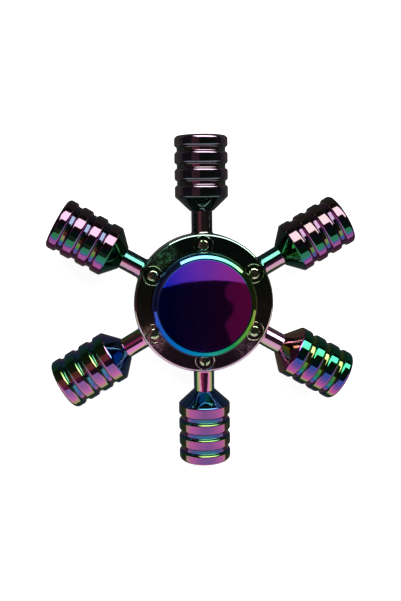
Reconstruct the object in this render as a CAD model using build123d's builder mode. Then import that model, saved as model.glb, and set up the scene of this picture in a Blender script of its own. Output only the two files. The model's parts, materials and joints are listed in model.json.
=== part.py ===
"""Six-arm fidget spinner: a bored hub ring with six turned posts, a ribbed weight on each, and a
608 size ball bearing whose inner race is held between two dished finger caps.

The spin axis is +Z, the front cap faces +Z and one arm lies along +Y. The origin is the bearing's
centre. Everything is in millimetres.
"""

from build123d import *
from math import cos, radians, sin
import os

# ---------------------------------------------------------------- driving dimensions

ARM_COUNT = 6
FIRST_ARM_ANGLE = 30.0
TIP_REACH = 35.5  # spin axis to the outer end of a weight

# hub
HUB_RADIUS = 15.0
HUB_HALF_THICKNESS = 3.5
HUB_EDGE_ROUND = 0.6
HUB_BORE_CHAMFER = 0.35
SEAT_REACH = 14.6  # spin axis to the spot face that a post's collar sits on
SEAT_RADIUS = 3.2

# posts, each turned about its own radial axis
STEM_RADIUS = 2.27
COLLAR_RADIUS = 3.1
COLLAR_FLARE = 0.83
SPIGOT_RADIUS = 1.7  # the end held in the hub
SPIGOT_START = 11.4
TENON_RADIUS = 1.5  # the end held in the weight
TENON_END = 26.5
TENON_CHAMFER = 0.4

# weights
CONE_START = 19.7
CONE_END = 22.7
NECK_RADIUS = 2.5
BARREL_RADIUS = 5.7
GROOVE_FIRST = 25.6
GROOVE_PITCH = 3.5
GROOVE_COUNT = 3
GROOVE_DEPTH = 0.5
GROOVE_FLOOR = 0.8
GROOVE_MOUTH = 1.5
GROOVE_ROUND = 0.55
TIP_ROUND = 0.85
SHOULDER_ROUND = 0.5
NECK_ROUND = 0.15

# lock screws, one over each post
SCREW_REACH = 12.5
SCREW_HEAD_RADIUS = 1.2
SCREW_HEAD_HEIGHT = 0.9
SCREW_HEAD_ROUND = 0.35
SCREW_SHANK_RADIUS = 0.8
SCREW_TIP_HEIGHT = -2.5
SLOT_WIDTH = 0.45
SLOT_DEPTH = 0.4
RECESS_RADIUS = 1.85
RECESS_DEPTH = 0.8

# 608 size bearing
BEARING_BORE = 4.0
BEARING_RADIUS = 11.0
BEARING_HALF_WIDTH = 3.5
BALL_COUNT = 7
BALL_RADIUS = 1.9845
BALL_CIRCLE = 7.5
GROOVE_CONFORMITY = 1.04
INNER_LAND = 6.05
OUTER_LAND = 9.0
RACE_EDGE = 0.3
SHIELD_THICKNESS = 0.25
SHIELD_HEIGHT = 2.9  # the shield's inner face above the middle plane
SHIELD_RADIUS = 9.45
SHIELD_BORE = 6.4

# cage
CAGE_INNER = 6.9
CAGE_OUTER = 8.1
CAGE_THICKNESS = 0.35
POCKET_CLEARANCE = 0.1
RIVET_RADIUS = 0.3
RIVET_HEAD_RADIUS = 0.5
RIVET_HEAD_HEIGHT = 0.2

# finger caps
CAP_RADIUS = 11.2
CAP_TOP = 7.2
CAP_UNDERSIDE = 3.95
CAP_BEVEL_WIDTH = 1.1
CAP_BEVEL_DROP = 0.75
CAP_EDGE_ROUND = 0.2
DISH_RADIUS = 9.8
DISH_DEPTH = 1.7
SPACER_RADIUS = 5.4
BOSS_END = 0.6
STUD_RADIUS = 2.5
STUD_END = 3.0
STUD_CHAMFER = 0.4

# clearances
FIT = 0.02  # radial, between pieces that are pushed or screwed together
ROLL = 0.015  # radial, between a ball and each raceway
END_GAP = 0.3  # past the end of a stud, screw or spigot in its blind hole

os.makedirs("parts", exist_ok=True)


def finish(builder, name):
    """Label a finished piece and write it as its own file."""
    builder.part.label = name
    export_step(builder.part, f"parts/{name}.step")


def arm_angle(index):
    """Direction of an arm in degrees from +X, counted from 0."""
    return FIRST_ARM_ANGLE + index * 360.0 / ARM_COUNT


def arm_plane(index, reach=0.0):
    """Plane square to an arm, `reach` out along it, with its normal pointing outwards."""
    a = radians(arm_angle(index))
    out = Vector(cos(a), sin(a), 0)
    return Plane(origin=out * reach, x_dir=Vector(-sin(a), cos(a), 0), z_dir=out)


def arm_axis(index):
    """The radial axis that an arm is turned about."""
    a = radians(arm_angle(index))
    return Axis((0, 0, 0), (cos(a), sin(a), 0))


def turning_plane(index):
    """Plane holding an arm's axis (its x) and the spin axis (its y), for profiles turned on the arm."""
    a = radians(arm_angle(index))
    return Plane(origin=(0, 0, 0), x_dir=(cos(a), sin(a), 0), z_dir=(sin(a), -cos(a), 0))


# ---------------------------------------------------------------- hub ring

with BuildPart() as hub_ring:
    with BuildSketch(Plane.XY.offset(-HUB_HALF_THICKNESS)):
        Circle(HUB_RADIUS)
    extrude(amount=2 * HUB_HALF_THICKNESS)
    fillet(hub_ring.edges(), radius=HUB_EDGE_ROUND)
    with BuildSketch(Plane.XY.offset(-HUB_HALF_THICKNESS)):
        Circle(BEARING_RADIUS + FIT)
    extrude(amount=2 * HUB_HALF_THICKNESS, mode=Mode.SUBTRACT)
    bore_edges = hub_ring.edges().filter_by(GeomType.CIRCLE).filter_by(
        lambda edge: abs(edge.radius - BEARING_RADIUS - FIT) < FIT / 2
    )
    chamfer(bore_edges, length=HUB_BORE_CHAMFER)
    # a spot face and a through bore for each post
    for arm in range(ARM_COUNT):
        with BuildSketch(arm_plane(arm, SEAT_REACH)):
            Circle(SEAT_RADIUS)
        extrude(amount=HUB_RADIUS - SEAT_REACH + FIT, mode=Mode.SUBTRACT)
        with BuildSketch(arm_plane(arm, BALL_CIRCLE)):
            Circle(SPIGOT_RADIUS + FIT)
        extrude(amount=HUB_RADIUS - BALL_CIRCLE, mode=Mode.SUBTRACT)
    # a shallow recess and a blind screw hole over each post
    with BuildSketch(Plane.XY.offset(HUB_HALF_THICKNESS - RECESS_DEPTH)):
        with PolarLocations(SCREW_REACH, ARM_COUNT, start_angle=FIRST_ARM_ANGLE):
            Circle(RECESS_RADIUS)
    extrude(amount=RECESS_DEPTH, mode=Mode.SUBTRACT)
    with BuildSketch(Plane.XY.offset(SCREW_TIP_HEIGHT - END_GAP)):
        with PolarLocations(SCREW_REACH, ARM_COUNT, start_angle=FIRST_ARM_ANGLE):
            Circle(SCREW_SHANK_RADIUS + FIT)
    extrude(amount=HUB_HALF_THICKNESS - SCREW_TIP_HEIGHT, mode=Mode.SUBTRACT)
finish(hub_ring, "hub_ring")

# ---------------------------------------------------------------- posts

FLARE_END = SEAT_REACH + COLLAR_FLARE

for arm in range(ARM_COUNT):
    with BuildPart() as post:
        with BuildSketch(turning_plane(arm)):
            with BuildLine():
                Polyline(
                    (FLARE_END, STEM_RADIUS),
                    (CONE_START, STEM_RADIUS),
                    (CONE_START, TENON_RADIUS),
                    (TENON_END, TENON_RADIUS),
                    (TENON_END, 0),
                    (SPIGOT_START, 0),
                    (SPIGOT_START, SPIGOT_RADIUS),
                    (SEAT_REACH, SPIGOT_RADIUS),
                    (SEAT_REACH, COLLAR_RADIUS),
                )
                RadiusArc((SEAT_REACH, COLLAR_RADIUS), (FLARE_END, STEM_RADIUS), -COLLAR_FLARE)
            make_face()
        revolve(axis=arm_axis(arm))
        tenon_end = post.edges().filter_by(GeomType.CIRCLE).sort_by(arm_axis(arm))[-1]
        chamfer(tenon_end, length=TENON_CHAMFER)
        # cross hole for the lock screw
        with BuildSketch(Plane.XY.offset(-HUB_HALF_THICKNESS)):
            with PolarLocations(SCREW_REACH, 1, start_angle=arm_angle(arm)):
                Circle(SCREW_SHANK_RADIUS + FIT)
        extrude(amount=2 * HUB_HALF_THICKNESS, mode=Mode.SUBTRACT)
    finish(post, f"arm_post_{arm + 1}")

# ---------------------------------------------------------------- barrel weights


def weight_outline():
    """Half outline of a weight as (distance from the spin axis, radius), hub end first."""
    points = [(CONE_START, TENON_RADIUS + FIT), (CONE_START, NECK_RADIUS), (CONE_END, BARREL_RADIUS)]
    for groove in range(GROOVE_COUNT):
        middle = GROOVE_FIRST + groove * GROOVE_PITCH
        floor = BARREL_RADIUS - GROOVE_DEPTH
        points += [
            (middle - GROOVE_MOUTH / 2, BARREL_RADIUS),
            (middle - GROOVE_FLOOR / 2, floor),
            (middle + GROOVE_FLOOR / 2, floor),
            (middle + GROOVE_MOUTH / 2, BARREL_RADIUS),
        ]
    blind_end = TENON_END + END_GAP
    points += [
        (TIP_REACH, BARREL_RADIUS),
        (TIP_REACH, 0),
        (blind_end, 0),
        (blind_end, TENON_RADIUS + FIT),
    ]
    return points


def outer_rims(builder, index):
    """Circular edges of a weight at its full radius, hub end first."""
    rims = builder.edges().filter_by(GeomType.CIRCLE).sort_by(arm_axis(index))
    return rims.filter_by(lambda edge: edge.radius > BARREL_RADIUS - GROOVE_DEPTH / 2)


for arm in range(ARM_COUNT):
    with BuildPart() as weight:
        with BuildSketch(turning_plane(arm)):
            with BuildLine():
                Polyline(*weight_outline(), close=True)
            make_face()
        revolve(axis=arm_axis(arm))
        # round the tip, the shoulder above the cone, the groove mouths and the neck
        fillet(outer_rims(weight, arm)[-1], radius=TIP_ROUND)
        fillet(outer_rims(weight, arm)[0], radius=SHOULDER_ROUND)
        fillet(outer_rims(weight, arm)[1 : 1 + 2 * GROOVE_COUNT], radius=GROOVE_ROUND)
        neck = weight.edges().filter_by(GeomType.CIRCLE)
        fillet(neck.filter_by(lambda edge: abs(edge.radius - NECK_RADIUS) < FIT / 2), radius=NECK_ROUND)
    finish(weight, f"barrel_weight_{arm + 1}")

# ---------------------------------------------------------------- lock screws

for arm in range(ARM_COUNT):
    spot = Vector(SCREW_REACH, 0, 0).rotate(Axis.Z, arm_angle(arm))
    head_base = Plane(
        origin=spot + Vector(0, 0, HUB_HALF_THICKNESS - RECESS_DEPTH),
        x_dir=arm_axis(arm).direction,
        z_dir=(0, 0, 1),
    )
    with BuildPart() as screw:
        with BuildSketch(head_base):
            Circle(SCREW_HEAD_RADIUS)
        extrude(amount=SCREW_HEAD_HEIGHT)
        fillet(screw.edges().sort_by(Axis.Z)[-1], radius=SCREW_HEAD_ROUND)
        # the driver slot points at the spin axis
        with BuildSketch(head_base.offset(SCREW_HEAD_HEIGHT)):
            Rectangle(2 * RECESS_RADIUS, SLOT_WIDTH)
        extrude(amount=-SLOT_DEPTH, mode=Mode.SUBTRACT)
        with BuildSketch(head_base):
            Circle(SCREW_SHANK_RADIUS)
        extrude(amount=SCREW_TIP_HEIGHT - HUB_HALF_THICKNESS + RECESS_DEPTH)
    finish(screw, f"lock_screw_{arm + 1}")

# ---------------------------------------------------------------- bearing races

RACEWAY_RADIUS = BALL_RADIUS * GROOVE_CONFORMITY
INNER_RACEWAY_CENTRE = BALL_CIRCLE - BALL_RADIUS - ROLL + RACEWAY_RADIUS
OUTER_RACEWAY_CENTRE = BALL_CIRCLE + BALL_RADIUS + ROLL - RACEWAY_RADIUS
SHIELD_MIDDLE = SHIELD_HEIGHT + SHIELD_THICKNESS / 2
SHIELD_GROOVE_MIDDLE = (SHIELD_RADIUS + OUTER_LAND) / 2

with BuildPart() as bearing_inner_race:
    with BuildSketch(Plane.XZ):
        with Locations(((BEARING_BORE + INNER_LAND) / 2, 0)):
            Rectangle(INNER_LAND - BEARING_BORE, 2 * BEARING_HALF_WIDTH)
    revolve(axis=Axis.Z)
    chamfer(bearing_inner_race.edges().filter_by(GeomType.CIRCLE), length=RACE_EDGE)
    with BuildSketch(Plane.XZ):
        with Locations((INNER_RACEWAY_CENTRE, 0)):
            Circle(RACEWAY_RADIUS)
    revolve(axis=Axis.Z, mode=Mode.SUBTRACT)
finish(bearing_inner_race, "bearing_inner_race")

with BuildPart() as bearing_outer_race:
    with BuildSketch(Plane.XZ):
        with Locations(((OUTER_LAND + BEARING_RADIUS) / 2, 0)):
            Rectangle(BEARING_RADIUS - OUTER_LAND, 2 * BEARING_HALF_WIDTH)
    revolve(axis=Axis.Z)
    rim = bearing_outer_race.edges().filter_by(GeomType.CIRCLE)
    chamfer(rim.filter_by(lambda edge: edge.radius > BALL_CIRCLE + BALL_RADIUS), length=RACE_EDGE)
    # the raceway, and a groove at each side that a shield snaps into
    with BuildSketch(Plane.XZ):
        with Locations((OUTER_RACEWAY_CENTRE, 0)):
            Circle(RACEWAY_RADIUS)
        with Locations((SHIELD_GROOVE_MIDDLE, SHIELD_MIDDLE), (SHIELD_GROOVE_MIDDLE, -SHIELD_MIDDLE)):
            Rectangle(SHIELD_RADIUS - OUTER_LAND + 2 * FIT, SHIELD_THICKNESS + 2 * FIT)
    revolve(axis=Axis.Z, mode=Mode.SUBTRACT)
finish(bearing_outer_race, "bearing_outer_race")

# ---------------------------------------------------------------- balls

for ball_index in range(BALL_COUNT):
    ball_spot = Vector(0, BALL_CIRCLE, 0).rotate(Axis.Z, ball_index * 360.0 / BALL_COUNT)
    with BuildPart() as ball:
        with Locations(ball_spot):
            Sphere(BALL_RADIUS)
    finish(ball, f"bearing_ball_{ball_index + 1}")

# ---------------------------------------------------------------- cage

POCKET_RADIUS = BALL_RADIUS + POCKET_CLEARANCE
FIRST_RIVET_ANGLE = 90.0 + 180.0 / BALL_COUNT

with BuildPart() as cage_front_half:
    # shells over the balls, trimmed to the width of the ribbon
    with PolarLocations(BALL_CIRCLE, BALL_COUNT, start_angle=90.0):
        Sphere(POCKET_RADIUS + CAGE_THICKNESS)
    with BuildSketch():
        Circle(CAGE_OUTER)
        Circle(CAGE_INNER, mode=Mode.SUBTRACT)
    extrude(amount=BALL_CIRCLE, mode=Mode.INTERSECT)
    # the flat ribbon between them
    with BuildSketch():
        Circle(CAGE_OUTER)
        Circle(CAGE_INNER, mode=Mode.SUBTRACT)
    extrude(amount=CAGE_THICKNESS)
    with PolarLocations(BALL_CIRCLE, BALL_COUNT, start_angle=90.0):
        Sphere(POCKET_RADIUS, mode=Mode.SUBTRACT)
    with BuildSketch():
        with PolarLocations(BALL_CIRCLE, BALL_COUNT, start_angle=FIRST_RIVET_ANGLE):
            Circle(RIVET_RADIUS + FIT)
    extrude(amount=CAGE_THICKNESS, mode=Mode.SUBTRACT)
finish(cage_front_half, "cage_front_half")

with BuildPart() as cage_back_half:
    mirror(cage_front_half.part, about=Plane.XY)
finish(cage_back_half, "cage_back_half")

with BuildPart() as cage_rivets:
    with BuildSketch(Plane.XY.offset(-CAGE_THICKNESS)):
        with PolarLocations(BALL_CIRCLE, BALL_COUNT, start_angle=FIRST_RIVET_ANGLE):
            Circle(RIVET_RADIUS)
    extrude(amount=2 * CAGE_THICKNESS)
    for head_base in (CAGE_THICKNESS, -CAGE_THICKNESS - RIVET_HEAD_HEIGHT):
        with BuildSketch(Plane.XY.offset(head_base)):
            with PolarLocations(BALL_CIRCLE, BALL_COUNT, start_angle=FIRST_RIVET_ANGLE):
                Circle(RIVET_HEAD_RADIUS)
        extrude(amount=RIVET_HEAD_HEIGHT)
finish(cage_rivets, "cage_rivets")

# ---------------------------------------------------------------- shields

with BuildPart() as shield_front:
    with BuildSketch(Plane.XY.offset(SHIELD_HEIGHT)):
        Circle(SHIELD_RADIUS)
        Circle(SHIELD_BORE, mode=Mode.SUBTRACT)
    extrude(amount=SHIELD_THICKNESS)
finish(shield_front, "shield_front")

with BuildPart() as shield_back:
    mirror(shield_front.part, about=Plane.XY)
finish(shield_back, "shield_back")

# ---------------------------------------------------------------- finger caps

DISH_FLOOR = CAP_TOP - DISH_DEPTH
DISH_CURVE = (DISH_RADIUS**2 + DISH_DEPTH**2) / (2 * DISH_DEPTH)


def cap_blank():
    """Turned blank of a finger cap, on the +Z side: dished disc, spacer and the boss in the bearing."""
    boss_radius = BEARING_BORE - FIT
    with BuildPart() as blank:
        with BuildSketch(Plane.XZ):
            with BuildLine():
                Polyline(
                    (0, DISH_FLOOR),
                    (0, BOSS_END),
                    (boss_radius, BOSS_END),
                    (boss_radius, BEARING_HALF_WIDTH),
                    (SPACER_RADIUS, BEARING_HALF_WIDTH),
                    (SPACER_RADIUS, CAP_UNDERSIDE),
                    (CAP_RADIUS, CAP_UNDERSIDE),
                    (CAP_RADIUS, CAP_TOP - CAP_BEVEL_DROP),
                    (CAP_RADIUS - CAP_BEVEL_WIDTH, CAP_TOP),
                    (DISH_RADIUS, CAP_TOP),
                )
                RadiusArc((0, DISH_FLOOR), (DISH_RADIUS, CAP_TOP), -DISH_CURVE)
            make_face()
        revolve(axis=Axis.Z)
        rims = blank.edges().filter_by(GeomType.CIRCLE)
        rims = rims.filter_by(lambda edge: edge.radius > DISH_RADIUS - FIT)
        fillet(rims, radius=CAP_EDGE_ROUND)
    return blank.part


with BuildPart() as front_cap:
    add(cap_blank())
    # threaded socket for the back cap's stud
    with BuildSketch(Plane.XY.offset(BOSS_END)):
        Circle(STUD_RADIUS + FIT)
    extrude(amount=STUD_END + END_GAP - BOSS_END, mode=Mode.SUBTRACT)
finish(front_cap, "front_cap")

with BuildPart() as back_cap:
    mirror(cap_blank(), about=Plane.XY)
    with BuildSketch(Plane.XY.offset(-BOSS_END)):
        Circle(STUD_RADIUS)
    extrude(amount=STUD_END + BOSS_END)
    chamfer(back_cap.edges().filter_by(GeomType.CIRCLE).sort_by(Axis.Z)[-1], length=STUD_CHAMFER)
finish(back_cap, "back_cap")
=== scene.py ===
import json
import math
from typing import NamedTuple

import bpy
import numpy as np
from mathutils import Matrix, Vector


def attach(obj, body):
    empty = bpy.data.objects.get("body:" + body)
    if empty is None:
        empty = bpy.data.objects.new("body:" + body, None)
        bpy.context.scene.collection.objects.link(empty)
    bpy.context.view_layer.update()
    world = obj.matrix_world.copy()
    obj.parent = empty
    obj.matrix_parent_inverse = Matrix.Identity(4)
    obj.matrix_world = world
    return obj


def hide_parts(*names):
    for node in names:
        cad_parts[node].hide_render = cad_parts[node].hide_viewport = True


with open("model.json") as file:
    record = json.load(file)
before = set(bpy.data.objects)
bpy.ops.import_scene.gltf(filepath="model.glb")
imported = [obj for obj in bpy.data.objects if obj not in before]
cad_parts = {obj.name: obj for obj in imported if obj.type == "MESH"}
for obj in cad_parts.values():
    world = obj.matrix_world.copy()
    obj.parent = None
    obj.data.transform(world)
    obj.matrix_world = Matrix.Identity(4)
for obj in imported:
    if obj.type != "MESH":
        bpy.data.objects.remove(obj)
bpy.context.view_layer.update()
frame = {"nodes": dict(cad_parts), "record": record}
nodes = frame["nodes"]

scene = bpy.context.scene
scene.view_settings.view_transform = "Standard"
scene.view_settings.look = "None"

# ---------------------------------------------------------------- sizes, in mm as in the CAD model

MM = 0.001
ARMS = [30.0 + 60.0 * k for k in range(6)]  # arm directions, degrees from +X
FIT = 0.02  # clearance round a held pin

HUB_RADIUS = 15.0
HUB_HALF_THICKNESS = 3.5
HUB_EDGE_ROUND = 0.6
BORE_RADIUS = 11.02
BORE_BEVEL = 0.35
BORE_ROUND = 0.08
SEAT_REACH = 14.6  # spin axis to the spot face that a post's collar sits on
SEAT_RADIUS = 3.2
SEAT_CUT_START = 7.5
SEAT_CUT_END = 15.6

SPIGOT_RADIUS = 1.7  # the post's end held in the hub
SPIGOT_START = 11.4
COLLAR_RADIUS = 3.1
COLLAR_EDGE = 0.15
COLLAR_EDGE_ROUND = 0.06
STEM_RADIUS = 2.27
STEM_FLARE_ROUND = 0.68
TENON_RADIUS = 1.5  # the post's end held in the weight
TENON_END = 26.5
TENON_BEVEL = 0.4

CONE_START = 19.7
CONE_END = 22.7
NECK_RADIUS = 2.5
NECK_ROUND = 0.15
BARREL_RADIUS = 5.7
SHOULDER_ROUND = 0.5
GROOVES = [25.6 + 3.5 * k for k in range(3)]  # spin axis to the middle of each groove
GROOVE_DEPTH = 0.5
GROOVE_HALF_MOUTH = 0.75
GROOVE_HALF_FLOOR = 0.4
GROOVE_MOUTH_ROUND = 0.55
GROOVE_FLOOR_ROUND = 0.2
TIP_REACH = 35.5
TIP_ROUND = 0.85
TENON_BORE_END = 26.8

SCREW_REACH = 12.5
SCREW_TIP = -2.5
SCREW_TIP_BEVEL = 0.1
SHANK_RADIUS = 0.8
HEAD_BASE = 2.7
HEAD_RADIUS = 1.2
HEAD_EDGE = 3.45
HEAD_EDGE_ROUND = 0.32
HEAD_TOP = 3.55
HEAD_TOP_RADIUS = 0.6
HEAD_TOP_ROUND = 0.8
SLOT = (3.7, 0.45, 0.8)  # length, width and height of what is cut away
SLOT_MIDDLE = 3.6
RECESS_RADIUS = 1.85
RECESS_MOUTH = 3.2
RECESS_FLARE = 0.7
RECESS_MOUTH_ROUND = 0.3
SCREW_HOLE_START = -2.8

CAP_TOP = 7.2
CAP_RADIUS = 11.2
CAP_FOOT = 3.95
CAP_FOOT_ROUND = 0.2
CAP_SHOULDER = 6.45
CAP_SHOULDER_ROUND = 1.4
CAP_LIP_RADIUS = 10.1
CAP_LIP_ROUND = 0.85
BOSS_RADIUS = 3.98  # the part of a cap inside the bearing's bore
BOSS_END = 0.6
SEAT_STEP_RADIUS = 5.4  # the step that rests on the bearing's inner race
SEAT_STEP = 3.5
DISH_RADIUS = 9.8
DISH_DEPTH = 1.7
DISH_EDGE_ROUND = 0.2
DISH_STEPS = 48
SOCKET = [(3.3, 0), (3.3, 2.52), (BOSS_END, 2.52)]
STUD = [(-3.0, 0), (-3.0, 2.1), (-2.6, 2.5), (BOSS_END, 2.5)]

# ---------------------------------------------------------------- turned meshes


def turned_runs(corners, steps=6):
    """A turned outline through (axial, radius, rounding) corners, in mm.

    The outside is on the left of the direction of travel. Gives a list of straight or curved runs,
    each a list of (axial, radius, normal axial, normal radius).
    """
    runs = []
    here = np.array(corners[0][:2], float)
    for k in range(1, len(corners)):
        corner = np.array(corners[k][:2], float)
        rounding = corners[k][2] if len(corners[k]) > 2 else 0.0
        ahead = corner - np.array(corners[k - 1][:2], float)
        ahead /= np.hypot(*ahead)
        left = np.array([-ahead[1], ahead[0]])
        if rounding and k + 1 < len(corners):
            onward = np.array(corners[k + 1][:2], float) - corner
            onward /= np.hypot(*onward)
            turn = math.atan2(ahead[0] * onward[1] - ahead[1] * onward[0], float(ahead @ onward))
            reach = rounding * math.tan(abs(turn) / 2)
            bend = -rounding if turn < 0 else rounding
            centre = corner - ahead * reach + left * bend
            arc = []
            for s in range(steps + 1):
                c, d = math.cos(turn * s / steps), math.sin(turn * s / steps)
                normal = np.array([left[0] * c - left[1] * d, left[0] * d + left[1] * c])
                arc.append((*(centre - normal * bend), *normal))
            if np.hypot(*(np.array(arc[0][:2]) - here)) > 1e-6:
                runs.append([(*here, *left), (*arc[0][:2], *left)])
            runs.append(arc)
            here = np.array(arc[-1][:2])
        else:
            if np.hypot(*(corner - here)) > 1e-6:
                runs.append([(*here, *left), (*corner, *left)])
            here = corner
    share_flush_normals(runs)
    return runs


def share_flush_normals(runs, flush=0.9962):
    """Give neighbouring runs that meet within about 5 degrees one normal where they meet."""
    for a, b in zip(runs, runs[1:]):
        na, nb = np.array(a[-1][2:]), np.array(b[0][2:])
        if flush < float(na @ nb) < 1.0:
            n = (na + nb) / np.hypot(*(na + nb))
            a[-1] = (*a[-1][:2], *n)
            b[0] = (*b[0][:2], *n)


def outline_strips(runs):
    """The outline's points, and its pieces as (point, point, normal, normal)."""
    points, strips = [], []

    def place_of(spot):
        for k in (len(points) - 1, 0) if points else ():
            if abs(points[k][0] - spot[0]) + abs(points[k][1] - spot[1]) < 1e-6:
                return k
        points.append((spot[0], spot[1]))
        return len(points) - 1

    for run in runs:
        for a, b in zip(run, run[1:]):
            strips.append((place_of(a), place_of(b), a[2:], b[2:]))
    return points, strips


def turned(name, runs, axis=(0, 0, 1), side=(1, 0, 0), origin=(0, 0, 0), segments=96):
    """Mesh object turned from an outline about an axis through `origin`, with exact normals."""
    u, v = np.array(axis, float), np.array(side, float)
    start = np.array(origin, float)
    angles = np.arange(segments) * 2 * math.pi / segments
    spokes = np.outer(np.cos(angles), v) + np.outer(np.sin(angles), np.cross(u, v))
    points, strips = outline_strips(runs)
    pole = [radius < 1e-6 for _, radius in points]
    verts, first = [], []
    for (along, radius), on_axis in zip(points, pole):
        first.append(len(verts))
        if on_axis:
            verts.append(start + u * along)
        else:
            verts.extend(start + u * along + spokes * radius)
    faces, normals = [], []
    for a, b, normal_a, normal_b in strips:
        if pole[a] and pole[b]:
            continue
        ring_a = u * normal_a[0] + spokes * normal_a[1]
        ring_b = u * normal_b[0] + spokes * normal_b[1]
        for j in range(segments):
            k = (j + 1) % segments
            if pole[a]:
                faces.append((first[a], first[b] + k, first[b] + j))
                normals.extend((ring_a[j], ring_b[k], ring_b[j]))
            elif pole[b]:
                faces.append((first[a] + j, first[a] + k, first[b]))
                normals.extend((ring_a[j], ring_a[k], ring_b[j]))
            else:
                faces.append((first[a] + j, first[a] + k, first[b] + k, first[b] + j))
                normals.extend((ring_a[j], ring_a[k], ring_b[k], ring_b[j]))
    obj = meshed(name, [tuple(p * MM) for p in verts], faces)
    obj.data.polygons.foreach_set("use_smooth", [True] * len(faces))
    obj.data.update()
    obj.data.normals_split_custom_set([tuple(n / max(np.linalg.norm(n), 1e-9)) for n in normals])
    return obj


def meshed(name, verts, faces):
    """Object in the scene with the given mesh, in metres."""
    mesh = bpy.data.meshes.new(name)
    mesh.from_pydata(verts, [], faces)
    mesh.update()
    obj = bpy.data.objects.new(name, mesh)
    scene.collection.objects.link(obj)
    return obj


def boxed(name, centre, across, size):
    """Plain box in mm: `across` is the direction of its first side in the XY plane."""
    across = Vector(across).normalized()
    beside = Vector((-across.y, across.x, 0))
    up = Vector((0, 0, 1))
    verts = []
    for i in (-0.5, 0.5):
        for j in (-0.5, 0.5):
            for k in (-0.5, 0.5):
                corner = across * size[0] * i + beside * size[1] * j + up * size[2] * k
                verts.append(tuple((Vector(centre) + corner) * MM))
    faces = [(0, 1, 3, 2), (4, 6, 7, 5), (0, 4, 5, 1), (2, 3, 7, 6), (0, 2, 6, 4), (1, 5, 7, 3)]
    return meshed(name, verts, faces)


def weigh_normals(obj):
    """Shade by face area, so that flats stay flat."""
    shading = obj.modifiers.new("shade", "WEIGHTED_NORMAL")
    shading.keep_sharp = True
    shading.weight = 60


def cut(obj, cutters):
    """Subtract the cutters one after another, mark the sharp edges and weigh the normals."""
    for cutter in cutters:
        step = obj.modifiers.new("cut", "BOOLEAN")
        step.operation = "DIFFERENCE"
        step.solver = "EXACT"
        step.object = cutter
    bpy.context.view_layer.update()
    graph = bpy.context.evaluated_depsgraph_get()
    plain = bpy.data.meshes.new_from_object(obj.evaluated_get(graph))
    obj.modifiers.clear()
    if plain.attributes.get("custom_normal"):
        plain.attributes.remove(plain.attributes["custom_normal"])
    plain.polygons.foreach_set("use_smooth", [True] * len(plain.polygons))
    plain.set_sharp_from_angle(angle=math.radians(32.0))
    obj.data = plain
    weigh_normals(obj)
    for cutter in cutters:
        bpy.data.objects.remove(cutter)
    return obj


# ---------------------------------------------------------------- pieces


def arm_frame(angle):
    """Directions along an arm and across it, in the hub's plane."""
    a = math.radians(angle)
    return (math.cos(a), math.sin(a), 0.0), (-math.sin(a), math.cos(a), 0.0)


def screw_spot(angle):
    return tuple(SCREW_REACH * c for c in arm_frame(angle)[0])


def seat_cutter(angle):
    """Bore for a post's spigot and the spot face for its collar."""
    out, beside = arm_frame(angle)
    corners = [
        (SEAT_CUT_START, 0),
        (SEAT_CUT_START, SPIGOT_RADIUS + FIT),
        (SEAT_REACH, SPIGOT_RADIUS + FIT),
        (SEAT_REACH, SEAT_RADIUS),
        (SEAT_CUT_END, SEAT_RADIUS),
        (SEAT_CUT_END, 0),
    ]
    return turned("seat", turned_runs(corners), axis=out, side=beside, segments=64)


def recess_cutter(angle):
    """Round recess with a flared mouth, and the screw's hole under it."""
    corners = [
        (SCREW_HOLE_START, 0),
        (SCREW_HOLE_START, SHANK_RADIUS + FIT),
        (HEAD_BASE, SHANK_RADIUS + FIT),
        (HEAD_BASE, RECESS_RADIUS),
        (RECESS_MOUTH, RECESS_RADIUS, RECESS_MOUTH_ROUND),
        (RECESS_MOUTH + RECESS_FLARE, RECESS_RADIUS + RECESS_FLARE),
        (RECESS_MOUTH + RECESS_FLARE, 0),
    ]
    return turned("recess", turned_runs(corners, steps=4), origin=screw_spot(angle), segments=64)


def hub_ring():
    bevelled = BORE_RADIUS + BORE_BEVEL
    corners = [
        (0, HUB_RADIUS),
        (HUB_HALF_THICKNESS, HUB_RADIUS, HUB_EDGE_ROUND),
        (HUB_HALF_THICKNESS, bevelled, BORE_ROUND),
        (HUB_HALF_THICKNESS - BORE_BEVEL, BORE_RADIUS, BORE_ROUND),
        (BORE_BEVEL - HUB_HALF_THICKNESS, BORE_RADIUS, BORE_ROUND),
        (-HUB_HALF_THICKNESS, bevelled, BORE_ROUND),
        (-HUB_HALF_THICKNESS, HUB_RADIUS, HUB_EDGE_ROUND),
        (0, HUB_RADIUS),
    ]
    ring = turned("visual_hub_ring", turned_runs(corners, steps=8), segments=240)
    seats, recesses = [], []
    for angle in ARMS:
        seats.append(seat_cutter(angle))
        recesses.append(recess_cutter(angle))
    return cut(ring, seats + recesses)


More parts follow.
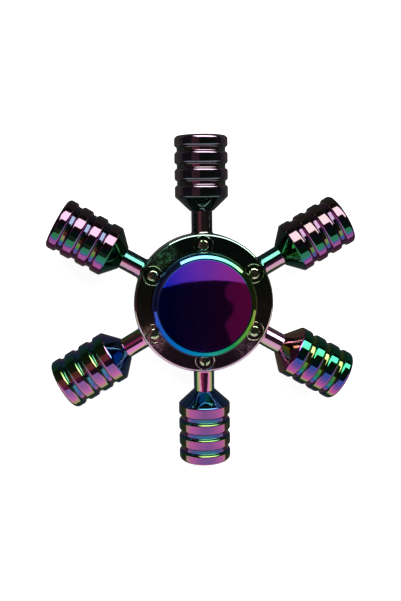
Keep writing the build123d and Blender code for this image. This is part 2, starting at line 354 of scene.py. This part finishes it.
def arm_post(number, angle):
    out, beside = arm_frame(angle)
    collar_end = SEAT_REACH + COLLAR_EDGE
    corners = [
        (SPIGOT_START, 0),
        (SPIGOT_START, SPIGOT_RADIUS),
        (SEAT_REACH, SPIGOT_RADIUS),
        (SEAT_REACH, COLLAR_RADIUS),
        (collar_end, COLLAR_RADIUS, COLLAR_EDGE_ROUND),
        (collar_end, STEM_RADIUS, STEM_FLARE_ROUND),
        (CONE_START, STEM_RADIUS),
        (CONE_START, TENON_RADIUS),
        (TENON_END - TENON_BEVEL, TENON_RADIUS),
        (TENON_END, TENON_RADIUS - TENON_BEVEL),
        (TENON_END, 0),
    ]
    runs = turned_runs(corners, steps=8)
    post = turned(f"visual_arm_post_{number}", runs, axis=out, side=beside, segments=96)
    ends = HUB_HALF_THICKNESS + 0.5
    bore = SHANK_RADIUS + FIT
    hole_runs = turned_runs([(-ends, 0), (-ends, bore), (ends, bore), (ends, 0)])
    hole = turned("hole", hole_runs, origin=screw_spot(angle), segments=48)
    return cut(post, [hole])


def barrel_weight(number, angle):
    out, beside = arm_frame(angle)
    bore = TENON_RADIUS + FIT
    floor = BARREL_RADIUS - GROOVE_DEPTH
    corners = [(CONE_START, bore), (CONE_START, NECK_RADIUS, NECK_ROUND)]
    corners.append((CONE_END, BARREL_RADIUS, SHOULDER_ROUND))
    for middle in GROOVES:
        corners += [
            (middle - GROOVE_HALF_MOUTH, BARREL_RADIUS, GROOVE_MOUTH_ROUND),
            (middle - GROOVE_HALF_FLOOR, floor, GROOVE_FLOOR_ROUND),
            (middle + GROOVE_HALF_FLOOR, floor, GROOVE_FLOOR_ROUND),
            (middle + GROOVE_HALF_MOUTH, BARREL_RADIUS, GROOVE_MOUTH_ROUND),
        ]
    corners += [(TIP_REACH, BARREL_RADIUS, TIP_ROUND), (TIP_REACH, 0)]
    socket = [(TENON_BORE_END, 0), (TENON_BORE_END, bore), (CONE_START, bore)]
    runs = turned_runs(corners) + turned_runs(socket)
    return turned(f"visual_barrel_weight_{number}", runs, axis=out, side=beside, segments=128)


def lock_screw(number, angle):
    spot = screw_spot(angle)
    corners = [
        (SCREW_TIP, 0),
        (SCREW_TIP, SHANK_RADIUS - SCREW_TIP_BEVEL),
        (SCREW_TIP + SCREW_TIP_BEVEL, SHANK_RADIUS),
        (HEAD_BASE, SHANK_RADIUS),
        (HEAD_BASE, HEAD_RADIUS, 0.05),
        (HEAD_EDGE, HEAD_RADIUS, HEAD_EDGE_ROUND),
        (HEAD_TOP, HEAD_TOP_RADIUS, HEAD_TOP_ROUND),
        (HEAD_TOP, 0),
    ]
    screw = turned(f"visual_lock_screw_{number}", turned_runs(corners), origin=spot, segments=64)
    slot = boxed("slot", (spot[0], spot[1], SLOT_MIDDLE), arm_frame(angle)[0], SLOT)
    return cut(screw, [slot])


def finger_cap(name, inside, axis):
    """Cap with a round shoulder and a shallow dish; `inside` is the outline of its stud or socket."""
    dish_curve = (DISH_RADIUS**2 + DISH_DEPTH**2) / (2 * DISH_DEPTH)
    dish_floor = CAP_TOP - DISH_DEPTH
    lip = math.asin(DISH_RADIUS / dish_curve)
    corners = inside + [
        (BOSS_END, BOSS_RADIUS),
        (SEAT_STEP, BOSS_RADIUS),
        (SEAT_STEP, SEAT_STEP_RADIUS),
        (CAP_FOOT, SEAT_STEP_RADIUS),
        (CAP_FOOT, CAP_RADIUS, CAP_FOOT_ROUND),
        (CAP_SHOULDER, CAP_RADIUS, CAP_SHOULDER_ROUND),
        (CAP_TOP, CAP_LIP_RADIUS, CAP_LIP_ROUND),
        (CAP_TOP, DISH_RADIUS, DISH_EDGE_ROUND),
    ]
    for s in range(1, DISH_STEPS):
        a = lip * (DISH_STEPS - s) / DISH_STEPS
        corners.append((dish_floor + dish_curve * (1 - math.cos(a)), dish_curve * math.sin(a)))
    corners.append((dish_floor, 0))
    return turned(name, turned_runs(corners, steps=8), axis=axis, segments=192)


pieces = {"hub_ring": hub_ring()}
for k, angle in enumerate(ARMS, start=1):
    pieces[f"arm_post_{k}"] = arm_post(k, angle)
    pieces[f"barrel_weight_{k}"] = barrel_weight(k, angle)
    pieces[f"lock_screw_{k}"] = lock_screw(k, angle)
pieces["front_cap"] = finger_cap("visual_front_cap", SOCKET, (0, 0, 1))
pieces["back_cap"] = finger_cap("visual_back_cap", STUD, (0, 0, -1))

# ---------------------------------------------------------------- material tools


def srgb(r, g, b):
    out = []
    for c in (r, g, b):
        c /= 255.0
        out.append(c / 12.92 if c <= 0.04045 else ((c + 0.055) / 1.055) ** 2.4)
    return (*out, 1.0)


# interference colours of the plating, once round the cycle
FILM = [
    (0.00, srgb(190, 80, 160)),
    (0.08, srgb(182, 118, 132)),
    (0.16, srgb(165, 142, 105)),
    (0.25, srgb(100, 140, 55)),
    (0.36, srgb(40, 122, 75)),
    (0.48, srgb(48, 132, 122)),
    (0.58, srgb(44, 105, 160)),
    (0.67, srgb(60, 75, 158)),
    (0.79, srgb(118, 78, 152)),
    (0.90, srgb(168, 82, 156)),
    (1.00, srgb(190, 80, 160)),
]


class Graph:
    """Small helper that adds and links nodes of one material."""

    def __init__(self, name):
        self.material = bpy.data.materials.new(name)
        self.material.use_nodes = True
        self.tree = self.material.node_tree
        self.shader = self.tree.nodes["Principled BSDF"]

    def node(self, kind, **settings):
        made = self.tree.nodes.new(kind)
        for key, value in settings.items():
            setattr(made, key, value)
        return made

    def put(self, value, socket):
        if isinstance(value, bpy.types.NodeSocket):
            self.tree.links.new(value, socket)
        else:
            socket.default_value = value

    def coords(self, kind="Object"):
        return self.node("ShaderNodeTexCoord").outputs[kind]

    def xyz(self, vector):
        made = self.node("ShaderNodeSeparateXYZ")
        self.put(vector, made.inputs[0])
        return made.outputs[0], made.outputs[1], made.outputs[2]

    def math(self, operation, a, b=0.0, c=0.0):
        made = self.node("ShaderNodeMath", operation=operation)
        for k, value in enumerate((a, b, c)):
            self.put(value, made.inputs[k])
        return made.outputs[0]

    def vector(self, operation, a, b=None, out=0, scale=None):
        made = self.node("ShaderNodeVectorMath", operation=operation)
        self.put(a, made.inputs[0])
        if b is not None:
            self.put(b, made.inputs[1])
        if scale is not None:
            self.put(scale, made.inputs["Scale"])
        return made.outputs[out]

    def length(self, vector):
        return self.vector("LENGTH", vector, out=1)

    def from_axis(self, place):
        """Distance from the spin axis."""
        return self.length(self.vector("MULTIPLY", place, (1.0, 1.0, 0.0)))

    def step(self, value, low, high, to_low=0.0, to_high=1.0):
        made = self.node("ShaderNodeMapRange", interpolation_type="SMOOTHSTEP")
        for k, v in enumerate((value, low, high, to_low, to_high)):
            self.put(v, made.inputs[k])
        return made.outputs[0]

    def mix(self, part, a, b):
        made = self.node("ShaderNodeMix")
        self.put(part, made.inputs[0])
        self.put(a, made.inputs[2])
        self.put(b, made.inputs[3])
        return made.outputs[0]

    def noise(self, coords, scale, detail=3.0, roughness=0.5, distortion=0.0):
        made = self.node("ShaderNodeTexNoise")
        self.put(coords, made.inputs["Vector"])
        self.put(scale, made.inputs["Scale"])
        self.put(detail, made.inputs["Detail"])
        self.put(roughness, made.inputs["Roughness"])
        self.put(distortion, made.inputs["Distortion"])
        return made.outputs["Fac"]

    def ramp(self, value, stops):
        made = self.node("ShaderNodeValToRGB")
        band = made.color_ramp
        while len(band.elements) < len(stops):
            band.elements.new(0.5)
        for element, (place, colour) in zip(band.elements, stops):
            element.position = place
            element.color = colour
        self.put(value, made.inputs[0])
        return made.outputs[0]

    def bump(self, height, strength, distance):
        made = self.node("ShaderNodeBump")
        self.put(strength, made.inputs["Strength"])
        self.put(distance, made.inputs["Distance"])
        self.put(height, made.inputs["Height"])
        return made.outputs[0]


def plated(name, phase_of, saturation=1.0, value=1.0, roughness=0.05, peel=0.25, wander=0.08):
    """Polished metal with a vacuum-plated interference film.

    phase_of(graph, position in mm, normal) gives the film's place in the colour cycle. Saturation,
    value and roughness are numbers, or functions of the same three things.
    """
    g = Graph(name)
    place = g.vector("SCALE", g.coords(), scale=1000.0)
    normal = g.coords("Normal")
    phase = phase_of(g, place, normal)
    drift = g.math("MULTIPLY", g.math("SUBTRACT", g.noise(place, 0.16, 2.0), 0.5), wander * 2)
    phase = g.math("FRACT", g.math("ADD", phase, g.math("ADD", drift, 4.0)))
    saturation, value, roughness = (
        part(g, place, normal) if callable(part) else part for part in (saturation, value, roughness)
    )
    tone = g.node("ShaderNodeHueSaturation")
    g.put(saturation, tone.inputs["Saturation"])
    g.put(g.ramp(phase, FILM), tone.inputs["Color"])
    g.put(value, tone.inputs["Value"])
    g.put(tone.outputs[0], g.shader.inputs["Base Color"])
    g.shader.inputs["Metallic"].default_value = 1.0
    smear = g.step(g.noise(place, 0.9, 4.0, 0.6), 0.35, 0.75, 0.8, 1.7)
    g.put(g.math("MULTIPLY", smear, roughness), g.shader.inputs["Roughness"])
    ripple = g.noise(place, 1.1, 2.0, 0.45)
    g.put(g.bump(ripple, peel, 0.00002), g.shader.inputs["Normal"])
    return g.material


# ---------------------------------------------------------------- plating of the arms


class SideFilmAndPaintedLight(NamedTuple):
    """Film on one side of an arm: its colour phase and how that changes, saturation, brightness. The
    numbers differ per arm and per side: partly the film's own colour, partly painted light for how
    the window and the card fall on each side.
    """

    start: float
    gain: float  # change with the tilt from the object's plane
    groove: float  # change inside the grooves
    leap: float  # sudden change past a small tilt
    # saturation and value: painted light, lighter or darker by how the lights fall on this side
    saturation: float
    value: float


def painted_light_by_side(near, far):
    """A number that changes from the side of an arm towards -Y to its far side. It sets saturation
    and brightness, so it is painted light: the side towards -Y is set for the card and the far side
    for the window.
    """

    def number_of(g, place, normal):
        return g.step(g.xyz(normal)[1], -0.05, 0.2, near, far)

    return number_of


def arm_phase(angle, near, far, cone=None):
    """Film phase on a turned arm piece; `cone` is the phase on the weight's cone."""
    out = arm_frame(angle)[0]

    def phase_of(g, place, normal):
        _, normal_y, normal_z = g.xyz(normal)
        tilt = g.math("SUBTRACT", 1.0, g.math("ABSOLUTE", normal_z))
        past = g.step(tilt, 0.10, 0.17)
        radius = g.length(g.vector("CROSS_PRODUCT", place, out))
        along = g.vector("DOT_PRODUCT", place, out, out=1)
        below_ribs = g.step(radius, BARREL_RADIUS - 0.45, BARREL_RADIUS - 0.1, 1.0, 0.0)
        beyond_cone = g.step(along, GROOVES[0] - 2.0, GROOVES[0] - 1.4)
        in_groove = g.math("MULTIPLY", below_ribs, beyond_cone)
        sides = []
        for film in (near, far):
            side = g.math("MULTIPLY_ADD", tilt, film.gain, film.start)
            side = g.math("MULTIPLY_ADD", past, film.leap, side)
            sides.append(g.math("MULTIPLY_ADD", in_groove, film.groove, side))
        phase = g.mix(g.step(normal_y, -0.05, 0.2), *sides)
        if cone is None:
            return phase
        on_cone = g.math("MULTIPLY_ADD", tilt, 0.25, cone)
        return g.mix(g.step(along, CONE_END - 0.1, CONE_END + 0.2), on_cone, phase)

    return phase_of


def arm_look(name, angle, near, far, cone=None, wander=0.08):
    return plated(
        name,
        arm_phase(angle, near, far, cone),
        painted_light_by_side(near.saturation, far.saturation),
        painted_light_by_side(near.value, far.value),
        wander=wander,
    )


# for each arm: the side near -Y, the far side, the phase on the cone; the saturation and value on
# each side are painted light, and arm 2, the top one, is darker as painted shade
WEIGHT_FILM_AND_PAINTED_LIGHT = [
    (SideFilmAndPaintedLight(0.36, 0.6, -0.18, 0.40, 0.95, 0.85), SideFilmAndPaintedLight(1.06, 0.15, -0.22, 0.0, 0.50, 0.30), 0.30),
    (SideFilmAndPaintedLight(0.36, 1.2, 0.5, 0.0, 0.35, 0.6), SideFilmAndPaintedLight(0.90, 0.4, 0.1, 0.0, 0.35, 0.6), 0.36),
    (SideFilmAndPaintedLight(0.36, 0.6, -0.18, 0.40, 0.95, 0.85), SideFilmAndPaintedLight(1.01, 0.15, -0.42, 0.0, 0.50, 0.30), 0.27),
    (SideFilmAndPaintedLight(0.80, 1.45, -0.28, 0.0, 0.88, 0.95), SideFilmAndPaintedLight(1.15, 0.6, 0.1, 0.0, 0.88, 0.95), 0.50),
    (SideFilmAndPaintedLight(0.79, 0.9, -0.32, 0.0, 0.92, 0.82), SideFilmAndPaintedLight(1.15, 0.6, 0.1, 0.0, 0.92, 0.82), 0.44),
    (SideFilmAndPaintedLight(0.65, 1.65, -0.38, 0.0, 1.0, 0.92), SideFilmAndPaintedLight(0.37, 0.12, -0.17, 0.0, 1.0, 0.92), 0.96),
]
# for each post: the side near -Y and the far side; the saturation and value on each side are painted
# light
STEM_FILM_AND_PAINTED_LIGHT = [
    (SideFilmAndPaintedLight(1.0, 0.5, 0.0, 0.0, 0.62, 1.2), SideFilmAndPaintedLight(0.41, 0.1, 0.0, 0.0, 0.80, 0.75)),
    (SideFilmAndPaintedLight(0.10, 1.0, 0.0, 0.0, 0.3, 0.7), SideFilmAndPaintedLight(0.05, 1.0, 0.0, 0.0, 0.3, 0.7)),
    (SideFilmAndPaintedLight(0.99, 0.4, 0.0, 0.0, 0.62, 1.1), SideFilmAndPaintedLight(0.41, 0.1, 0.0, 0.0, 0.80, 0.75)),
    (SideFilmAndPaintedLight(0.93, 1.2, 0.0, 0.0, 0.8, 1.35), SideFilmAndPaintedLight(1.0, 0.5, 0.0, 0.0, 0.8, 1.35)),
    (SideFilmAndPaintedLight(0.95, 1.2, 0.0, 0.0, 0.9, 1.35), SideFilmAndPaintedLight(1.0, 0.5, 0.0, 0.0, 0.9, 1.35)),
    (SideFilmAndPaintedLight(0.94, 1.0, 0.0, 0.0, 0.6, 1.2), SideFilmAndPaintedLight(0.90, 0.2, 0.0, 0.0, 0.6, 1.2)),
]

# ---------------------------------------------------------------- plating of the hub and screws


def patch(g, place, centre, reach):
    """Soft blotch of stronger film on the hub, with a ragged edge."""
    away = g.length(g.vector("SUBTRACT", place, centre))
    ragged = g.math("MULTIPLY_ADD", g.noise(place, 1.6, 5.0, 0.7), 5.0, away)
    return g.step(ragged, reach + 0.8, reach + 4.2, 1.0, 0.0)


def hub_blotch(g, place):
    green = patch(g, place, (-8.4, 10.2, HUB_HALF_THICKNESS), 3.2)
    red = patch(g, place, (-11.0, -7.0, HUB_HALF_THICKNESS), 3.4)
    plum = patch(g, place, (9.0, -9.6, HUB_HALF_THICKNESS), 2.6)
    grain = g.step(g.noise(place, 3.2, 4.0, 0.7), 0.40, 0.70, 0.35, 1.0)
    most = g.math("MAXIMUM", g.math("MAXIMUM", green, red), g.math("MULTIPLY", plum, 0.6))
    return g.math("MULTIPLY", most, grain)


def hub_number(wall, face, blotch):
    """A number for the rolled edge and outside wall, and one for the cast face and its blotches."""

    def number_of(g, place, normal):
        on_face = g.math("MULTIPLY_ADD", hub_blotch(g, place), blotch, face)
        return g.step(g.xyz(normal)[2], 0.9, 0.985, wall, on_face)

    return number_of


def hub_phase(g, place, normal):
    across = g.math("MULTIPLY_ADD", g.xyz(place)[1], 0.016, 0.06)
    return g.math("MULTIPLY_ADD", g.noise(place, 0.5, 4.0, 0.65, 0.6), 0.25, across)


def hub_look():
    return plated(
        "plated hub",
        hub_phase,
        saturation=hub_number(wall=0.32, face=0.5, blotch=0.45),
        value=hub_number(wall=1.5, face=0.5, blotch=0.8),
        roughness=hub_number(wall=0.06, face=0.08, blotch=0.30),
        wander=0.0,
        peel=0.7,
    )


def screw_phase(g, place, normal):
    return g.math("MULTIPLY", g.noise(place, 0.8, 2.0), 0.5)


# ---------------------------------------------------------------- plating of the caps


def dish_or_rim(g, place, dish, rim):
    """The first value inside the thumb dish, the second on the rim round it."""
    return g.step(g.from_axis(place), DISH_RADIUS - 0.25, DISH_RADIUS + 0.05, dish, rim)


def cap_phase(g, place, normal):
    across = g.xyz(place)[0]
    right = g.math("MAXIMUM", across, 0.0)
    left = g.math("MINIMUM", across, 0.0)
    rim = g.math("MULTIPLY_ADD", right, -0.028, g.math("MULTIPLY_ADD", left, -0.013, 0.52))
    dish = g.math("MULTIPLY_ADD", right, 0.0135, g.math("MULTIPLY_ADD", left, 0.0095, 0.765))
    return g.mix(dish_or_rim(g, place, 0.0, 1.0), dish, rim)


# painted light: the dish is lighter towards -X and darker towards +X
def cap_value_with_painted_light(g, place, normal):
    return dish_or_rim(g, place, g.step(g.xyz(place)[0], -4.0, 8.0, 1.14, 0.72), 1.3)


# painted light: the rim's film is less saturated towards +Y, where the window falls, than towards -Y,
# where the card does
def cap_saturation_with_painted_light(g, place, normal):
    return dish_or_rim(g, place, 1.22, g.step(g.xyz(place)[1], -6.0, 7.0, 1.1, 0.88))


# ---------------------------------------------------------------- bearing steel


def steel(name, colour, roughness, scale):
    """Ground or pressed steel: fine turning marks round the spin axis, faint stains, soft wear."""
    g = Graph(name)
    place = g.vector("SCALE", g.coords(), scale=1000.0)
    rings = g.node("ShaderNodeCombineXYZ")
    g.put(g.from_axis(place), rings.inputs[0])
    marks = g.noise(rings.outputs[0], scale, 5.0, 0.7)
    stain = g.math("MULTIPLY", g.noise(place, 0.5, 3.0, 0.6), 0.5)
    dark = (*(c * 0.72 for c in colour), 1.0)
    tint = g.ramp(g.math("MULTIPLY_ADD", marks, 0.5, stain), [(0.3, dark), (0.7, (*colour, 1.0))])
    g.put(tint, g.shader.inputs["Base Color"])
    g.shader.inputs["Metallic"].default_value = 1.0
    g.put(g.step(marks, 0.3, 0.7, roughness * 0.8, roughness * 1.3), g.shader.inputs["Roughness"])
    g.put(g.bump(marks, 0.2, 0.00001), g.shader.inputs["Normal"])
    return g.material


# ---------------------------------------------------------------- looks on the pieces

looks = {"hub_ring": hub_look()}
for k, angle in enumerate(ARMS, start=1):
    near, far, cone = WEIGHT_FILM_AND_PAINTED_LIGHT[k - 1]
    looks[f"barrel_weight_{k}"] = arm_look(f"plated weight {k}", angle, near, far, cone)
    near, far = STEM_FILM_AND_PAINTED_LIGHT[k - 1]
    looks[f"arm_post_{k}"] = arm_look(f"plated post {k}", angle, near, far, wander=0.06)
    looks[f"lock_screw_{k}"] = plated(f"plated screw {k}", screw_phase, saturation=0.5, value=1.8)
looks["front_cap"] = plated(
    "plated cap", cap_phase, cap_saturation_with_painted_light, cap_value_with_painted_light, wander=0.02, peel=0.12
)
looks["back_cap"] = looks["front_cap"]

steels = {
    "bearing_steel": steel("ground bearing steel", (0.60, 0.60, 0.62), 0.16, 30.0),
    "pressed_steel": steel("pressed steel", (0.50, 0.50, 0.52), 0.3, 14.0),
}
slots = {part["node"]: part["material_slot"] for part in frame["record"]["subparts"]}
for name, node in nodes.items():
    node.data.materials.clear()
    node.data.materials.append(looks[name] if name in looks else steels[slots[name]])

for name, piece in pieces.items():
    piece.data.materials.clear()
    piece.data.materials.append(looks[name])
    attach(piece, "grip" if name.endswith("_cap") else "rotor")
    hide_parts(name)

# ---------------------------------------------------------------- floor, backdrop and light

FLOOR = -CAP_TOP * MM
ROOM_RADIUS = 1.5
WHITE = (1, 1, 1, 1)
SURROUNDINGS = (0.034, 0.03, 0.032, 1)
DIM_RED = (0.26, 0.08, 0.12, 1)


def glowing(name, colour=WHITE, strength=1.0):
    """Material that only gives off light."""
    g = Graph(name)
    g.shader.inputs["Base Color"].default_value = (0, 0, 0, 1)
    g.shader.inputs["Roughness"].default_value = 0.9
    g.shader.inputs["Specular IOR Level"].default_value = 0.0
    g.shader.inputs["Emission Color"].default_value = colour
    g.shader.inputs["Emission Strength"].default_value = strength
    return g


def staged(obj, g, camera=False, glossy=False, shadow=False):
    """Keep the object out of the model; it is seen only by the rays that are named."""
    obj.data.materials.append(g.material)
    obj.visible_camera = camera
    obj.visible_glossy = glossy
    obj.visible_diffuse = False
    obj.visible_transmission = False
    obj.visible_volume_scatter = False
    obj.visible_shadow = shadow


def disc(name, height):
    angles = np.arange(64) * 2 * math.pi / 64
    corners = [(ROOM_RADIUS * math.cos(a), ROOM_RADIUS * math.sin(a), height) for a in angles]
    return meshed(name, corners, [tuple(range(len(corners)))])


def panel(name, corners):
    return meshed(name, corners, [(0, 1, 2, 3)])


def floor():
    """Pale floor that shows a faint shadow near the object and is plain white further out. Its glow
    is weaker near the object and full further out: painted light where the window does not reach.
    """
    g = Graph("floor")
    g.shader.inputs["Base Color"].default_value = (0.6, 0.6, 0.6, 1)
    g.shader.inputs["Emission Color"].default_value = WHITE
    spread = g.coords()
    # painted light: the floor glows 0.93 near the object and 1.0 further out
    glow = g.step(g.length(spread), 0.06, 0.25, 0.93, 1.0)
    g.put(glow, g.shader.inputs["Emission Strength"])
    grain = g.step(g.noise(spread, 60.0, 4.0), 0.3, 0.7, 0.85, 0.95)
    g.put(grain, g.shader.inputs["Roughness"])
    staged(disc("floor", FLOOR), g, camera=True, shadow=True)


def backdrop():
    bpy.ops.mesh.primitive_uv_sphere_add(segments=48, ring_count=24, radius=ROOM_RADIUS)
    dome = bpy.context.object
    dome.name = "backdrop"
    staged(dome, glowing("backdrop", strength=1.05), camera=True)


def near_card():
    """White card upright in front of the object, seen only in its reflections."""
    side, front, top = 0.25, -0.062, 0.135
    corners = [(-side, front, FLOOR), (-side, front, top), (side, front, top), (side, front, FLOOR)]
    staged(panel("near_card", corners), glowing("near card"), glossy=True)


def mirrored_table():
    """The dim table top as it is seen in reflections."""
    g = glowing("table in reflections", (1.0, 0.98, 0.95, 1), 0.10)
    staged(disc("mirrored_table", FLOOR - 0.5 * MM), g, glossy=True)


def red_shade():
    """Something dim and reddish that stands overhead, to the left, with a ragged outline."""
    left, right, front, back, height = -0.40, -0.04, -0.30, 0.18, 0.4
    corners = [
        (left, front, height),
        (right, front, height),
        (right, back, height),
        (left, back, height),
    ]
    g = glowing("red shade")
    spot = g.coords()
    x, y, _ = g.xyz(spot)
    lobes = g.math("COSINE", g.math("MULTIPLY_ADD", y, 34.9, 1.12))
    ragged = g.math("MULTIPLY_ADD", lobes, 0.02, x)
    ragged = g.math("MULTIPLY_ADD", g.noise(spot, 14.0, 4.0, 0.6, 0.3), 0.07, ragged)
    red = g.node("ShaderNodeMix", data_type="RGBA")
    g.put(g.step(ragged, -0.064, -0.046), red.inputs[0])
    g.put(DIM_RED, red.inputs[6])
    g.put(SURROUNDINGS, red.inputs[7])
    g.put(red.outputs[2], g.shader.inputs["Emission Color"])
    staged(panel("red_shade", corners), g, glossy=True)


def window_light():
    """Wide soft light beyond the object that faces -Y."""
    data = bpy.data.lights.new("window", "AREA")
    data.shape = "RECTANGLE"
    data.size, data.size_y = 0.645, 0.45
    data.energy = 6.9
    obj = bpy.data.objects.new("window", data)
    scene.collection.objects.link(obj)
    obj.location = (0.155, 0.30, 0.355)
    obj.rotation_euler = Vector((0, -1, 0)).to_track_quat("-Z", "Y").to_euler()
    obj.visible_camera = False


def surroundings():
    world = bpy.data.worlds.new("surroundings")
    world.use_nodes = True
    background = world.node_tree.nodes["Background"]
    background.inputs["Color"].default_value = SURROUNDINGS
    background.inputs["Strength"].default_value = 1.0
    scene.world = world


floor()
backdrop()
near_card()
mirrored_table()
red_shade()
window_light()
surroundings()

# ---------------------------------------------------------------- camera


def aimed_camera(place, target, roll):
    """Camera at a place, aimed at a target, turned by `roll` degrees about its own axis."""
    camera = bpy.data.objects.new("camera", bpy.data.cameras.new("camera"))
    scene.collection.objects.link(camera)
    back = (place - target).normalized()
    right = Vector((0, 1, 0)).cross(back).normalized()
    turn = Matrix((right, back.cross(right), back)).transposed().to_4x4()
    roll_turn = Matrix.Rotation(math.radians(roll), 4, "Z")
    camera.matrix_world = Matrix.Translation(place) @ turn @ roll_turn
    camera.data.lens = 41.93
    camera.data.sensor_width = 36.0
    camera.data.clip_start = 0.005
    camera.data.clip_end = 10.0
    return camera


camera_place = Vector((-11.63, 21.74, 151.17)) * MM
camera_target = Vector((-0.54, 0.27, 0)) * MM
scene.camera = aimed_camera(camera_place, camera_target, -0.823)
